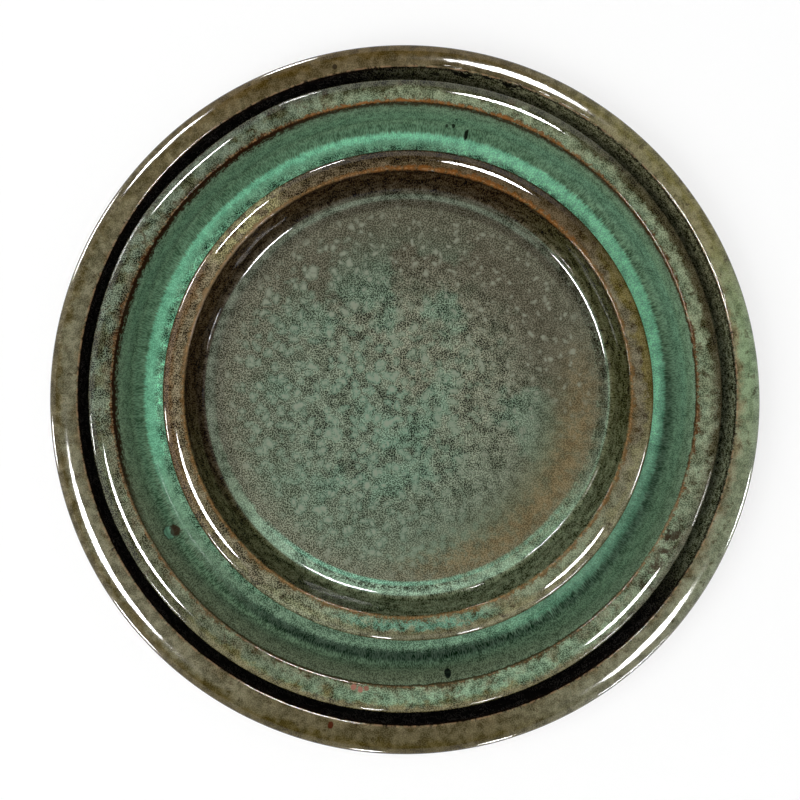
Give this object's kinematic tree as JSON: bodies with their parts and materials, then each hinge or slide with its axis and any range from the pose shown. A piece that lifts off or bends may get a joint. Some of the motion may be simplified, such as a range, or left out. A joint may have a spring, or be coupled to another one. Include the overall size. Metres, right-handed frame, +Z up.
{
  "type": "plant saucer",
  "caption": "Nested set of round, deep, heavy glazed stoneware plant saucers with flat rounded lips, leaning walls and bare foot rings; each lifts out to catch water under a pot.",
  "frame": {"origin": "on the ground under the centre of the large saucer, in the plane of its foot ring", "axes": "+Z up out of the saucers; +X to the right and +Y to the top of the picture"},
  "size_m": [0.36, 0.36, 0.0615],
  "materials": {
    "large_glaze": "glossy olive-brown glaze, mottled, with green pooling; bare clay foot",
    "medium_glaze": "glossy grey-green to teal glaze, speckled, breaking rust brown at the inner edge; bare clay foot",
    "small_glaze": "glossy brown and grey-green glaze with pale dots, breaking rust brown at the inner edge; bare clay foot"
  },
  "bodies": {
    "large": {"large_saucer": "large_glaze"},
    "medium": {"medium_saucer": "medium_glaze"},
    "small": {"small_saucer": "small_glaze"}
  },
  "joints": [
    {"name": "medium_lift", "type": "slide", "parent": "large", "child": "medium", "axis": [0, 0, 1], "range_m": [0, 0.12]},
    {"name": "small_lift", "type": "slide", "parent": "medium", "child": "small", "axis": [0, 0, 1], "range_m": [0, 0.1]}
  ]
}
